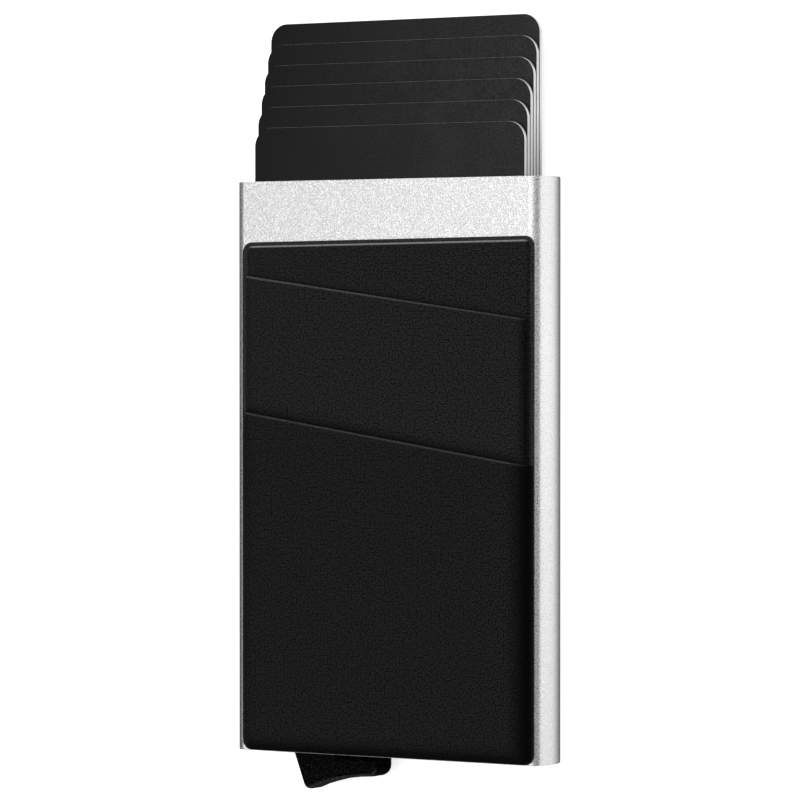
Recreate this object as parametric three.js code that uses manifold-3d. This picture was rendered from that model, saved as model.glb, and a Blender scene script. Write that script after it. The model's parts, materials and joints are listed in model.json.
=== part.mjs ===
// Pop-up card case: an aluminium sleeve with a stepped lever that fans the cards out of its mouth,
// and a stick-on leather pocket on its front face.
// Millimetres. The case lies on its rear face: +X to the right of the front face, +Y towards the mouth,
// +Z out of the front face. The origin is the middle of the rear face.
import * as THREE from 'three';
import { mergeVertices } from 'three/addons/utils/BufferGeometryUtils.js';
import Module from 'manifold-3d';

const wasm = await Module();
wasm.setup();

// Cards, of the usual bank-card size
const CARD_LENGTH = 85.6;
const CARD_WIDTH = 53.98;
const CARD_THICKNESS = 0.76;
const CARD_CORNER = 3.18;
const CARD_COUNT = 6;
const CARD_PITCH = 1;
const CARD_SEAT = 12; // lower edges of the stored cards above the sleeve's lower end
const FIRST_LIFT = 9.6; // travel of the front card
const LIFT_STEP = 3.63; // further travel of each card behind it

// Sleeve
const SLEEVE_LENGTH = 98;
const SLEEVE_WALL = 0.9;
const EDGE_RADIUS = 2; // between the broad faces and the narrow sides
const SIDE_RADIUS = 9.6; // crown of the narrow sides
const FRONT_CARD_GAP = 0.35; // front card to the front wall
const REAR_CARD_GAP = 0.89; // rear card to the rear wall

// Soft pieces that hold the cards
const CARD_SIDE_GAP = 0.3; // card edge to brake strip
const STRIP_THICKNESS = 2.46;
const STRIP_BOND = 0.1;
const STRIP_BREADTH = 5.6;
const STRIP_START = 23; // above the sleeve's lower end
const STRIP_MOUTH_GAP = 3;
const PAD_THICKNESS = 0.5;
const PAD_WIDTH = 48;
const PAD_LENGTH = 20;
const PAD_MOUTH_GAP = 3;

// Lever: hub, ejector arm and finger fin
const SWING = THREE.MathUtils.degToRad(51.5);
const PIVOT_HEIGHT = 6.5; // above the sleeve's lower end
const HUB_RADIUS = 3.2;
const CONTACT_GAP = 0.3; // arm nose to card edge
const ARM_START = 4.2; // from the pivot
const NECK_LENGTH = 8.4; // from the pivot into the arm
const NECK_BREADTH = 5.2; // of the neck and the web where they leave the hub
const NOSE_LIP = 0.4;
const FIN_THICKNESS = 4.8;
const FIN_LENGTH = 17.7;
const FIN_HEEL = 3.1; // heel of the fin, left of the pivot
const FIN_TIP_SETBACK = 3.28; // centre of the tip's round, right of the heel
const FIN_TIP_DROP = 6.37; // below the sleeve's lower end
const FIN_TIP_RADIUS = 1.3;
const FIN_TOE_DROP = 3.67;
const FIN_TOE_RADIUS = 2;
const FIN_HOLLOW = 0.55; // depth of the finger curve
const FIN_EDGE = 1; // rounding along the fin's edges
const FIN_STOP_GAP = 0.4; // toe to the sleeve's lower end
const WEB_RIGHT = 6; // right edge of the web, from the pivot

// Pivot pin
const PIN_RADIUS = 1.1;
const PIN_END_GAP = 0.2;
const PIN_SEAT_FIT = 0.05;
const PIN_RUNNING_FIT = 0.1;

// Base cap
const CAP_FIT = 0.1;
const CAP_RECESS = 0.2;
const CAP_FLOOR = 2;
const CAP_END_HEIGHT = 4; // upright ends above the floor
const CAP_END_GAP = 0.35; // arm nose to upright end
const SLOT_GAP = 0.3;

// Leather pocket
const POCKET_WIDTH = 58.25;
const POCKET_SHIFT = 0.63; // to the right of the sleeve's middle
const POCKET_BOTTOM_MARGIN = 0.1;
const POCKET_LEFT_MARGIN = 10.45; // ends of the slightly slanted upper edge below the mouth
const POCKET_RIGHT_MARGIN = 9.93;
const POCKET_CORNER = 1.8;
const SIDE_ROUNDING = 3; // how far the front panel's sides roll in towards its front
const BOTTOM_ROUNDING = 3.4;
const INNER_ROUNDING = 1.5; // of the hollow behind the front panel
const MIDDLE_ROUNDING = 1.65;
const OPENING_CORNER = 0.4;
const OPENING_ROUNDING = 0.6; // along the openings
const MIDDLE_OPENING_LEFT = 81.92; // heights of the openings' ends above the sleeve's lower end
const MIDDLE_OPENING_RIGHT = 74.3;
const FRONT_OPENING_LEFT = 58.61;
const FRONT_OPENING_RIGHT = 50;
const BASE_THICKNESS = 0.4;
const BACK_THICKNESS = 0.6;
const BASE_RIM = 0.75; // of the base, left bare round the back panel
const LEFT_RIM = 0.6; // more of the base is bare along the left
const PANEL_THICKNESS = 0.7; // middle and front panels
const TURNED_EDGE = 0.5; // breadth of the edges turned down along the sides and the bottom
const SEAM_THICKNESS = 0.2;
const SEAM_WIDTH = 3;
const SEAM_GAP = 0.1; // to the leather's turned or rounded edge
const SEAM_END = 1; // below the opening
const ADHESIVE_THICKNESS = 0.15;
const ADHESIVE_INSET = 1.5;

// Facets
const ARC_STEPS = 6;
const ROUND_STEPS = 24;
const NOSE_STEPS = 10;
const ROLL_STEPS = 4;
const EDGE_STEPS = 4;

// Construction
const LEAST_CORNER = 0.25; // share of its radius that a corner keeps when its sides move in
const CUT_PAST = 1; // cuts run this far past the faces they open

// Sizes that follow from the driving dimensions
const stackThickness = (CARD_COUNT - 1) * CARD_PITCH + CARD_THICKNESS;
const sleeveThickness = stackThickness + FRONT_CARD_GAP + REAR_CARD_GAP + 2 * SLEEVE_WALL;
const sleeveWidth = CARD_WIDTH + 2 * (CARD_SIDE_GAP + STRIP_THICKNESS + STRIP_BOND + SLEEVE_WALL);
const middleZ = sleeveThickness / 2;
const frontWallZ = sleeveThickness - SLEEVE_WALL;
const lowerEnd = -SLEEVE_LENGTH / 2;
const mouth = SLEEVE_LENGTH / 2;

// Centres of the sleeve's side crown and edge rounds, shared by every section parallel to its surface
const crownX = sleeveWidth / 2 - SIDE_RADIUS;
const edgeRise = middleZ - EDGE_RADIUS;
const edgeX = crownX + Math.sqrt((SIDE_RADIUS - EDGE_RADIUS) ** 2 - edgeRise ** 2);
const crownAngle = Math.atan2(edgeRise, edgeX - crownX);

const point = (x, y) => new THREE.Vector2(x, y);

function arc(centre, radius, from, to, steps) {
  return Array.from({ length: steps + 1 }, (_, step) => {
    const angle = from + ((to - from) * step) / steps;
    return point(centre.x + radius * Math.cos(angle), centre.y + radius * Math.sin(angle));
  });
}

function circle(centre, radius) {
  return arc(centre, radius, 0, 2 * Math.PI, ROUND_STEPS).slice(0, ROUND_STEPS);
}

function turned(points, angle) {
  return points.map((p) => p.clone().rotateAround(point(0, 0), angle));
}

function moved(points, x, y) {
  return points.map((p) => point(p.x + x, p.y + y));
}

// An extrusion between two heights, with square or rounded edges
function plate(points, low, high, edge = 0) {
  const geometry = new THREE.ExtrudeGeometry(new THREE.Shape(points), {
    depth: high - low - 2 * edge,
    bevelEnabled: edge > 0,
    bevelThickness: edge,
    bevelSize: edge,
    bevelOffset: -edge,
    bevelSegments: EDGE_STEPS,
  });
  return geometry.translate(0, 0, low + edge);
}

// An extrusion along Y of a section drawn in X and Z, with an optional hole
function bar(section, low, high, hole) {
  const shape = new THREE.Shape(section);
  if (hole) {
    shape.holes.push(new THREE.Path(hole));
  }
  const geometry = new THREE.ExtrudeGeometry(shape, { depth: high - low, bevelEnabled: false });
  return geometry.rotateX(Math.PI / 2).translate(0, high, 0);
}

function block(low, high) {
  const size = new THREE.Vector3().subVectors(high, low);
  const centre = new THREE.Vector3().addVectors(low, high).multiplyScalar(0.5);
  return new THREE.BoxGeometry(size.x, size.y, size.z).translate(centre.x, centre.y, centre.z);
}

function toSolid(geometry) {
  const bare = geometry.clone();
  bare.deleteAttribute('normal');
  bare.deleteAttribute('uv');
  const merged = mergeVertices(bare);
  const vertProperties = merged.getAttribute('position').array;
  const triVerts = Uint32Array.from(merged.getIndex().array);
  return new wasm.Manifold(new wasm.Mesh({ numProp: 3, vertProperties, triVerts }));
}

function toGeometry(solid) {
  const { vertProperties, triVerts } = solid.getMesh();
  const geometry = new THREE.BufferGeometry();
  geometry.setAttribute('position', new THREE.BufferAttribute(vertProperties, 3));
  geometry.setIndex(new THREE.BufferAttribute(triVerts, 1));
  geometry.computeVertexNormals();
  return geometry;
}

function joined(geometries) {
  return geometries.map(toSolid).reduce((whole, next) => whole.add(next));
}

// An outline of straight sides with rounded corners, each side moved in by its own inset
function roundedOutline(corners, insets = corners.map(() => 0)) {
  const count = corners.length;
  const sides = corners.map((corner, side) => {
    const along = corners[(side + 1) % count].at.clone().sub(corner.at).normalize();
    const inward = point(-along.y, along.x);
    return { along, inward, start: corner.at.clone().addScaledVector(inward, insets[side]) };
  });
  return corners.flatMap((corner, index) => {
    const before = sides[(index + count - 1) % count];
    const after = sides[index];
    const between = after.start.clone().sub(before.start);
    const turn = before.along.cross(after.along);
    const meet = before.start.clone().addScaledVector(before.along, between.cross(after.along) / turn);
    if (corner.radius === 0) {
      return [meet];
    }
    const inset = Math.max(insets[(index + count - 1) % count], insets[index]);
    const radius = Math.max(corner.radius - inset, corner.radius * LEAST_CORNER);
    const sweep = before.along.angleTo(after.along);
    const start = meet.clone().addScaledVector(before.along, -radius * Math.tan(sweep / 2));
    const centre = start.addScaledVector(before.inward, radius);
    const from = Math.atan2(-before.inward.y, -before.inward.x);
    return arc(centre, radius, from, from + sweep, ARC_STEPS);
  });
}

// A solid lofted through level outlines that have the same number of points and are convex
function loft(levels) {
  const count = levels[0].points.length;
  const positions = levels.flatMap(({ points, z }) => points.flatMap((p) => [p.x, p.y, z]));
  const top = (levels.length - 1) * count;
  const triangles = [];
  for (let ring = 0; ring < levels.length - 1; ring += 1) {
    for (let step = 0; step < count; step += 1) {
      const a = ring * count + step;
      const b = ring * count + ((step + 1) % count);
      triangles.push(a, b, b + count, a, b + count, a + count);
    }
  }
  for (let step = 1; step < count - 1; step += 1) {
    triangles.push(0, step + 1, step, top, top + step, top + step + 1);
  }
  const geometry = new THREE.BufferGeometry();
  geometry.setAttribute('position', new THREE.Float32BufferAttribute(positions, 3));
  geometry.setIndex(triangles);
  geometry.computeVertexNormals();
  return geometry;
}

// The sleeve's section in X and Z, moved in from its outer surface
function sleeveSection(inset) {
  const edge = EDGE_RADIUS - inset;
  const crown = SIDE_RADIUS - inset;
  const high = middleZ + edgeRise;
  const low = middleZ - edgeRise;
  const quarter = Math.PI / 2;
  const right = [
    ...arc(point(edgeX, low), edge, -quarter, -crownAngle, ARC_STEPS),
    ...arc(point(crownX, middleZ), crown, -crownAngle, crownAngle, ARC_STEPS).slice(1, -1),
    ...arc(point(edgeX, high), edge, crownAngle, quarter, ARC_STEPS),
  ];
  const left = right.map((p) => point(-p.x, p.y)).reverse();
  return [...right, ...left];
}

function makeSleeve() {
  return bar(sleeveSection(0), lowerEnd, mouth, sleeveSection(SLEEVE_WALL));
}

// Cards are counted from 0 at the front
const cardFront = (card) => frontWallZ - FRONT_CARD_GAP - card * CARD_PITCH;
const cardLift = (card) => FIRST_LIFT + card * LIFT_STEP;

function makeCard(card) {
  const low = lowerEnd + CARD_SEAT + cardLift(card);
  const half = CARD_WIDTH / 2;
  const outline = roundedOutline([
    { at: point(-half, low), radius: CARD_CORNER },
    { at: point(half, low), radius: CARD_CORNER },
    { at: point(half, low + CARD_LENGTH), radius: CARD_CORNER },
    { at: point(-half, low + CARD_LENGTH), radius: CARD_CORNER },
  ]);
  return plate(outline, cardFront(card) - CARD_THICKNESS, cardFront(card));
}

// Each arm nose is an involute, so that its card rises by the same amount for every degree of swing.
// These points are seen from the pivot with the cards stored.
const storedEdge = CARD_SEAT - PIVOT_HEIGHT - CONTACT_GAP;
const noseArm = (card) => cardLift(card) / SWING;

function nosePoint(card, angle) {
  const arm = noseArm(card);
  return point(arm, storedEdge + arm * angle).rotateAround(point(0, 0), -angle);
}

const lastNose = nosePoint(CARD_COUNT - 1, SWING);
const armUnderside = lastNose.y - NOSE_LIP;
const pivotX = edgeX - lastNose.length();
const pivotY = lowerEnd + PIVOT_HEIGHT;

// The arm's steps: each layer runs from its own front to the rear of the arm
const layerFront = (card) => cardFront(card) + (CARD_PITCH - CARD_THICKNESS) / 2;

function armLayer(card) {
  const nose = Array.from({ length: NOSE_STEPS + 1 }, (_, step) => {
    return nosePoint(card, SWING * (1 - step / NOSE_STEPS));
  });
  const steps = Array.from({ length: card + 1 }, (_, step) => step);
  const underside = steps.map((step) => point(nosePoint(step, SWING).x, armUnderside));
  const top = steps.slice(0, -1).map((step) => nosePoint(step, 0)).reverse();
  const root = [point(ARM_START, storedEdge), point(ARM_START, armUnderside)];
  const outline = moved(turned([...root, ...underside, ...nose, ...top], SWING), pivotX, pivotY);
  return plate(outline, layerFront(CARD_COUNT), layerFront(card));
}

// The web and fin seen from the pivot with the cards out
function finOutline() {
  const end = -PIVOT_HEIGHT;
  const tip = point(FIN_TIP_SETBACK - FIN_HEEL, end - FIN_TIP_DROP + FIN_TIP_RADIUS);
  const toe = point(FIN_LENGTH - FIN_HEEL - FIN_TOE_RADIUS, end - FIN_TOE_DROP + FIN_TOE_RADIUS);
  const heel = point(-FIN_HEEL, end);
  const heelAngle = heel.clone().sub(tip).angle() + Math.acos(FIN_TIP_RADIUS / heel.distanceTo(tip));
  const curveStart = point(tip.x, end - FIN_TIP_DROP);
  const curveEnd = point(toe.x, end - FIN_TOE_DROP);
  const chord = curveEnd.clone().sub(curveStart).normalize();
  const middle = curveStart.clone().add(curveEnd).multiplyScalar(0.5);
  const hollow = middle.addScaledVector(point(-chord.y, chord.x), 2 * FIN_HOLLOW);
  const leave = hollow.clone().sub(curveStart).angle() - Math.PI / 2 + 2 * Math.PI;
  const curve = new THREE.QuadraticBezierCurve(curveStart, hollow, curveEnd).getPoints(ARC_STEPS);
  return [
    point(-NECK_BREADTH / 2, 0),
    heel,
    ...arc(tip, FIN_TIP_RADIUS, heelAngle, leave, ARC_STEPS),
    ...curve.slice(1, -1),
    ...arc(toe, FIN_TOE_RADIUS, -Math.PI / 2, 0, ARC_STEPS),
    point(toe.x + FIN_TOE_RADIUS, end - FIN_STOP_GAP),
    point(WEB_RIGHT, end - FIN_STOP_GAP),
    point(NECK_BREADTH / 2, 0),
  ];
}

const pivot = point(pivotX, pivotY);
const finLow = middleZ - FIN_THICKNESS / 2;
const finHigh = middleZ + FIN_THICKNESS / 2;

function makeLever() {
  const neck = [
    point(0, -NECK_BREADTH / 2),
    point(NECK_LENGTH, -NECK_BREADTH / 2),
    point(NECK_LENGTH, NECK_BREADTH / 2),
    point(0, NECK_BREADTH / 2),
  ];
  const pieces = [
    plate(circle(pivot, HUB_RADIUS), finLow, finHigh),
    plate(moved(turned(neck, SWING), pivotX, pivotY), finLow, finHigh),
    plate(moved(finOutline(), pivotX, pivotY), finLow, finHigh, FIN_EDGE),
  ];
  for (let card = 0; card < CARD_COUNT; card += 1) {
    pieces.push(armLayer(card));
  }
  const bore = plate(circle(pivot, PIN_RADIUS + PIN_RUNNING_FIT), 0, sleeveThickness);
  return toGeometry(joined(pieces).subtract(toSolid(bore)));
}

const capInset = SLEEVE_WALL + CAP_FIT;

function makePin() {
  const inset = capInset + PIN_END_GAP;
  return plate(circle(pivot, PIN_RADIUS), inset, sleeveThickness - inset);
}

function makeBaseCap() {
  const low = lowerEnd + CAP_RECESS;
  const floorTop = low + CAP_FLOOR;
  const section = sleeveSection(capInset);
  const slotLow = finLow - SLOT_GAP;
  const slotHigh = finHigh + SLOT_GAP;
  const cheek = [
    point(pivotX - HUB_RADIUS, low),
    point(pivotX + HUB_RADIUS, low),
    ...arc(pivot, HUB_RADIUS, 0, Math.PI, 2 * ARC_STEPS),
  ];
  const storedFin = moved(turned(finOutline(), -SWING), pivotX, pivotY);
  const slotLeft = Math.min(...storedFin.map((p) => p.x)) - SLOT_GAP;
  const slotRight = pivotX + WEB_RIGHT + SLOT_GAP;
  const endX = edgeX + CAP_END_GAP;
  const inside = block(
    new THREE.Vector3(-endX, floorTop, 0),
    new THREE.Vector3(endX, floorTop + CAP_END_HEIGHT + CUT_PAST, sleeveThickness),
  );
  const slot = block(
    new THREE.Vector3(slotLeft, low - CUT_PAST, slotLow),
    new THREE.Vector3(slotRight, floorTop + CUT_PAST, slotHigh),
  );
  const shell = toSolid(bar(section, low, floorTop + CAP_END_HEIGHT)).subtract(toSolid(inside));
  const cheeks = [plate(cheek, capInset, slotLow), plate(cheek, slotHigh, sleeveThickness - capInset)];
  const pinSeat = plate(circle(pivot, PIN_RADIUS + PIN_SEAT_FIT), 0, sleeveThickness);
  const whole = shell.add(joined(cheeks)).subtract(toSolid(slot)).subtract(toSolid(pinSeat));
  return toGeometry(whole);
}

// side is 1 on the right and -1 on the left
function makeBrakeStrip(side) {
  const radius = SIDE_RADIUS - SLEEVE_WALL - STRIP_BOND;
  const angle = Math.asin(STRIP_BREADTH / 2 / radius);
  const face = CARD_WIDTH / 2 + CARD_SIDE_GAP;
  const section = [
    point(face, middleZ - STRIP_BREADTH / 2),
    ...arc(point(crownX, middleZ), radius, -angle, angle, ARC_STEPS),
    point(face, middleZ + STRIP_BREADTH / 2),
  ];
  const placed = section.map((p) => point(side * p.x, p.y));
  return bar(placed, lowerEnd + STRIP_START, mouth - STRIP_MOUTH_GAP);
}

function makeFeltPad() {
  const high = mouth - PAD_MOUTH_GAP;
  return block(
    new THREE.Vector3(-PAD_WIDTH / 2, high - PAD_LENGTH, SLEEVE_WALL),
    new THREE.Vector3(PAD_WIDTH / 2, high, SLEEVE_WALL + PAD_THICKNESS),
  );
}

// Pocket layers, from the sleeve's front face outwards
const baseLow = sleeveThickness + ADHESIVE_THICKNESS;
const baseHigh = baseLow + BASE_THICKNESS;
const backHigh = baseHigh + BACK_THICKNESS;
const middleLow = backHigh + SEAM_THICKNESS;
const middleHigh = middleLow + PANEL_THICKNESS;
const frontLow = middleHigh + SEAM_THICKNESS;
const frontHigh = frontLow + PANEL_THICKNESS;
const pocketLeft = POCKET_SHIFT - POCKET_WIDTH / 2;
const panelLeft = pocketLeft + LEFT_RIM;
const pocketRight = POCKET_SHIFT + POCKET_WIDTH / 2;
const pocketBottom = lowerEnd + POCKET_BOTTOM_MARGIN;

function pocketCorners(left, leftTop, rightTop, topRadius) {
  return [
    { at: point(left, pocketBottom), radius: POCKET_CORNER },
    { at: point(pocketRight, pocketBottom), radius: POCKET_CORNER },
    { at: point(pocketRight, rightTop), radius: topRadius },
    { at: point(left, leftTop), radius: topRadius },
  ];
}

// Share of a quarter round at a height between its start and its end
function quarterRound(z, start, end) {
  const rise = THREE.MathUtils.clamp((z - start) / (end - start), 0, 1);
  return 1 - Math.sqrt(1 - rise * rise);
}

// Insets of the bottom, right, top and left edges; the base and the front panel share one quarter round
function baseInsets(z) {
  const share = quarterRound(z, sleeveThickness, frontHigh);
  const side = SIDE_ROUNDING * share;
  return [BOTTOM_ROUNDING * share, side, side, side];
}

function frontInsets(z) {
  const share = quarterRound(z, sleeveThickness, frontHigh);
  const side = SIDE_ROUNDING * share;
  return [BOTTOM_ROUNDING * share, side, OPENING_ROUNDING * share, side];
}

function frontHollowInsets(z) {
  const side = TURNED_EDGE + INNER_ROUNDING * quarterRound(z, baseHigh, frontLow);
  return [side, side, -CUT_PAST, side];
}

function middleInsets(z) {
  const share = quarterRound(z, backHigh, middleHigh);
  const side = BASE_RIM + MIDDLE_ROUNDING * share;
  return [side, side, OPENING_ROUNDING * share, side];
}

function middleHollowInsets() {
  const side = BASE_RIM + TURNED_EDGE;
  return [side, side, -CUT_PAST, side];
}

function makeLayer(corners, low, high, insetsAt) {
  const levels = Array.from({ length: ROLL_STEPS + 1 }, (_, step) => {
    const z = low + (high - low) * Math.sin((Math.PI / 2) * (step / ROLL_STEPS));
    return { z, points: roundedOutline(corners, insetsAt(z)) };
  });
  return loft(levels);
}

function makeInsetSheet(corners, inset, low, high) {
  return plate(roundedOutline(corners, corners.map(() => inset)), low, high);
}

// The sides and the bottom of these two panels are turned down, and their tops stay open
function makeMiddlePanel(corners) {
  const whole = makeLayer(corners, backHigh, middleHigh, middleInsets);
  const hollow = makeLayer(corners, backHigh - CUT_PAST, middleLow, middleHollowInsets);
  return toGeometry(toSolid(whole).subtract(toSolid(hollow)));
}

function makeFrontPanel(corners) {
  const whole = makeLayer(corners, baseHigh, frontHigh, frontInsets);
  const hollow = makeLayer(corners, baseHigh - CUT_PAST, frontLow, frontHollowInsets);
  return toGeometry(toSolid(whole).subtract(toSolid(hollow)));
}

// A U along the sides and the bottom, open along the pocket's slanted top
function makeSeam(leftTop, rightTop, inset, low, high) {
  const left = panelLeft + inset;
  const right = pocketRight - inset;
  const bottom = pocketBottom + inset;
  const slope = (rightTop - leftTop) / (pocketRight - panelLeft);
  const topAt = (x) => leftTop + slope * (x - panelLeft) - SEAM_END;
  const outline = roundedOutline([
    { at: point(left, bottom), radius: POCKET_CORNER },
    { at: point(right, bottom), radius: POCKET_CORNER },
    { at: point(right, topAt(right)), radius: 0 },
    { at: point(right - SEAM_WIDTH, topAt(right - SEAM_WIDTH)), radius: 0 },
    { at: point(right - SEAM_WIDTH, bottom + SEAM_WIDTH), radius: 0 },
    { at: point(left + SEAM_WIDTH, bottom + SEAM_WIDTH), radius: 0 },
    { at: point(left + SEAM_WIDTH, topAt(left + SEAM_WIDTH)), radius: 0 },
    { at: point(left, topAt(left)), radius: 0 },
  ]);
  return plate(outline, low, high);
}

function material(color, roughness, metalness) {
  return new THREE.MeshStandardMaterial({ color, roughness, metalness });
}

const anodised = () => material(0xd9dadb, 0.45, 0.9);
const blackPlastic = () => material(0x17171a, 0.5, 0);
const steel = () => material(0xa8abb0, 0.3, 1);
const foam = () => material(0x1c1c1c, 0.95, 0);
const felt = () => material(0x2b2b2d, 1, 0);
const cardPlastic = () => material(0x232325, 0.4, 0);
const film = () => material(0x1e1e1f, 0.6, 0);
const leather = () => material(0x1b1b1c, 0.6, 0);

const cardCase = new THREE.Group();

function addPiece(name, geometry, finish) {
  const mesh = new THREE.Mesh(geometry, finish);
  mesh.name = name;
  cardCase.add(mesh);
}

const middleTop = [lowerEnd + MIDDLE_OPENING_LEFT, lowerEnd + MIDDLE_OPENING_RIGHT];
const frontTop = [lowerEnd + FRONT_OPENING_LEFT, lowerEnd + FRONT_OPENING_RIGHT];
const middleSeamInset = BASE_RIM + TURNED_EDGE + SEAM_GAP;
const frontSeamInset = BASE_RIM + MIDDLE_ROUNDING + SEAM_GAP;
const backTop = [mouth - POCKET_LEFT_MARGIN, mouth - POCKET_RIGHT_MARGIN];
const baseCorners = pocketCorners(pocketLeft, ...backTop, POCKET_CORNER);
const backCorners = pocketCorners(panelLeft, ...backTop, POCKET_CORNER);
const middleCorners = pocketCorners(panelLeft, ...middleTop, OPENING_CORNER);
const frontCorners = pocketCorners(panelLeft, ...frontTop, OPENING_CORNER);

addPiece('sleeve', makeSleeve(), anodised());
addPiece('base_cap', makeBaseCap(), blackPlastic());
addPiece('pivot_pin', makePin(), steel());
addPiece('trigger_lever', makeLever(), blackPlastic());
addPiece('left_brake_strip', makeBrakeStrip(-1), foam());
addPiece('right_brake_strip', makeBrakeStrip(1), foam());
addPiece('rear_felt_pad', makeFeltPad(), felt());
for (let card = 0; card < CARD_COUNT; card += 1) {
  addPiece(`card_${card + 1}`, makeCard(card), cardPlastic());
}
addPiece('adhesive_sheet', makeInsetSheet(baseCorners, ADHESIVE_INSET, sleeveThickness, baseLow), film());
addPiece('pocket_base', makeLayer(baseCorners, baseLow, baseHigh, baseInsets), leather());
addPiece('pocket_back_panel', makeInsetSheet(backCorners, BASE_RIM, baseHigh, backHigh), leather());
addPiece('middle_seam', makeSeam(...middleTop, middleSeamInset, backHigh, middleLow), film());
addPiece('pocket_middle_panel', makeMiddlePanel(middleCorners), leather());
addPiece('front_seam', makeSeam(...frontTop, frontSeamInset, middleHigh, frontLow), film());
addPiece('pocket_front_panel', makeFrontPanel(frontCorners), leather());

export default cardCase;
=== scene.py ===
"""Looks of a pop-up card case: an aluminium sleeve that fans out six cards, with a leather pocket."""
import json
import logging
import math
from dataclasses import dataclass
from enum import Enum
from typing import Callable, Optional, Sequence, Union

import bmesh
import bpy
from mathutils import Matrix, Vector

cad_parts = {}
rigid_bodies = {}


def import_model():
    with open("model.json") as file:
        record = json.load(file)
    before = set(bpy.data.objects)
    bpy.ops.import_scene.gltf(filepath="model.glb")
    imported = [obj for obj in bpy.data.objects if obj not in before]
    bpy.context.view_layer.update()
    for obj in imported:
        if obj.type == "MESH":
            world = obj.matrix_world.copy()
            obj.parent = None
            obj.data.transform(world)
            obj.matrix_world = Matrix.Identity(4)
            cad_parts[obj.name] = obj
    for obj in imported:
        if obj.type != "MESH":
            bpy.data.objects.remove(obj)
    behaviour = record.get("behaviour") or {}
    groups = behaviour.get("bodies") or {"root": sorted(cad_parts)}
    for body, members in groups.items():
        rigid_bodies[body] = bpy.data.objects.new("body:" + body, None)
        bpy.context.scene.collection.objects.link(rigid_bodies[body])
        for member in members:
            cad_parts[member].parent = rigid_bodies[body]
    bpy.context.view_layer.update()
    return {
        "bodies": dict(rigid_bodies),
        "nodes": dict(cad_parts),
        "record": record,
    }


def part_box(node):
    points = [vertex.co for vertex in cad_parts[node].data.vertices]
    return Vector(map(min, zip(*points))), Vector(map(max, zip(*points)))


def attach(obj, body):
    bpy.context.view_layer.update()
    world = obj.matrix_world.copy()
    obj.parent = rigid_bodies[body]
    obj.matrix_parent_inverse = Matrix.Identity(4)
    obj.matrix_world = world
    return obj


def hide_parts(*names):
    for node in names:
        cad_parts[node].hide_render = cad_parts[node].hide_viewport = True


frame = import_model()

SLEEVE_LOW, SLEEVE_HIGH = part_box("sleeve")
MM = 0.001
MERGE_DISTANCE = 0.002 * MM
FLAT_ANGLE = math.radians(0.5)

# A face looks along an axis when its normal has more than this share of it.
FACING = 0.9

# The number of a piece's second finish.
SECOND_FINISH = 1

# The middle of a pattern that runs from 0 to 1.
MIDDLE = 0.5

Triple = tuple[float, float, float]
Span = tuple[float, float]
Number = Union[float, "Shade"]
Sockets = dict[Union[int, str], object]

log = logging.getLogger("card_case")


class Detail(Enum):
    """How many finer layers a noise has."""

    PLAIN = 0.5
    SOFT = 2.0
    FIBROUS = 3.0
    PATCHY = 4.0


class Cells(Enum):
    """Whether cells run through along Z or fill space."""

    FLAT = "2D"
    SOLID = "3D"


class Shade:
    """A socket of a shader, whose arithmetic adds Math nodes."""

    def __init__(self, graph: "Graph", socket: bpy.types.NodeSocket) -> None:
        """Keep the graph and the socket."""
        self.graph = graph
        self.socket = socket

    def __add__(self, other: Number) -> "Shade":
        """Sum of two values."""
        return self.graph.maths("ADD", self, other)

    __radd__ = __add__

    def __sub__(self, other: Number) -> "Shade":
        """Difference of two values."""
        return self.graph.maths("SUBTRACT", self, other)

    def __rsub__(self, other: Number) -> "Shade":
        """Difference with the plain number first."""
        return self.graph.maths("SUBTRACT", other, self)

    def __mul__(self, other: Number) -> "Shade":
        """Product of two values."""
        return self.graph.maths("MULTIPLY", self, other)

    __rmul__ = __mul__


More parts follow.
